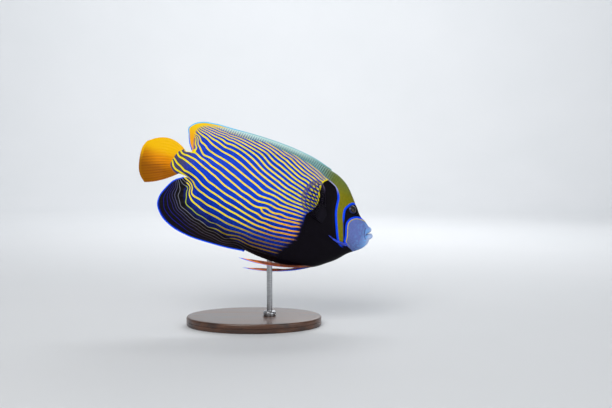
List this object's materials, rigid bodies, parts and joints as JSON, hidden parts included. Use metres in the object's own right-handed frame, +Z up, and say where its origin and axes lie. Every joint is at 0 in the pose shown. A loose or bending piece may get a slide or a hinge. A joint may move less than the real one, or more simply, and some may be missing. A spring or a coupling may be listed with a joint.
{
  "type": "emperor angelfish on a display stand",
  "caption": "Life-size model of a striped angelfish swimming head down, with spread fins, held by a rod on an oval base.",
  "frame": {"origin": "centre of the oval base's underside, on the surface the stand rests on", "axes": "+X towards the fish's head, +Y to its left, +Z up"},
  "size_m": [0.3336, 0.132, 0.2862],
  "materials": {
    "face": "lavender and black fish skin, satin",
    "body": "blue fish skin with yellow stripes, fine scales, satin",
    "fins": "thin rayed fins, blue, yellow and near black",
    "tail": "yellow-orange rayed tail fin",
    "lips": "pale lavender lips, satin",
    "eyes": "clear glossy eye, dark",
    "spines": "blue cheek spine, smooth",
    "stand_wood": "dark stained wood, satin",
    "stand_metal": "brushed steel"
  },
  "bodies": {
    "root": {"head": "face", "upper_lip": "lips", "lower_lip": "lips", "eye_left": "eyes", "eye_right": "eyes", "gill_cover_left": "face", "gill_cover_right": "face", "cheek_spine_left": "spines", "cheek_spine_right": "spines", "body_front": "body", "body_middle": "body", "tail_stalk": "body", "dorsal_fin_spiny": "fins", "dorsal_fin_soft": "fins", "anal_fin": "fins", "tail_fin": "tail", "pectoral_fin_left": "fins", "pectoral_fin_right": "fins", "pelvic_fin_left": "fins", "pelvic_fin_right": "fins", "stand_base": "stand_wood", "stand_collar": "stand_metal", "stand_rod": "stand_metal"}
  },
  "joints": []
}
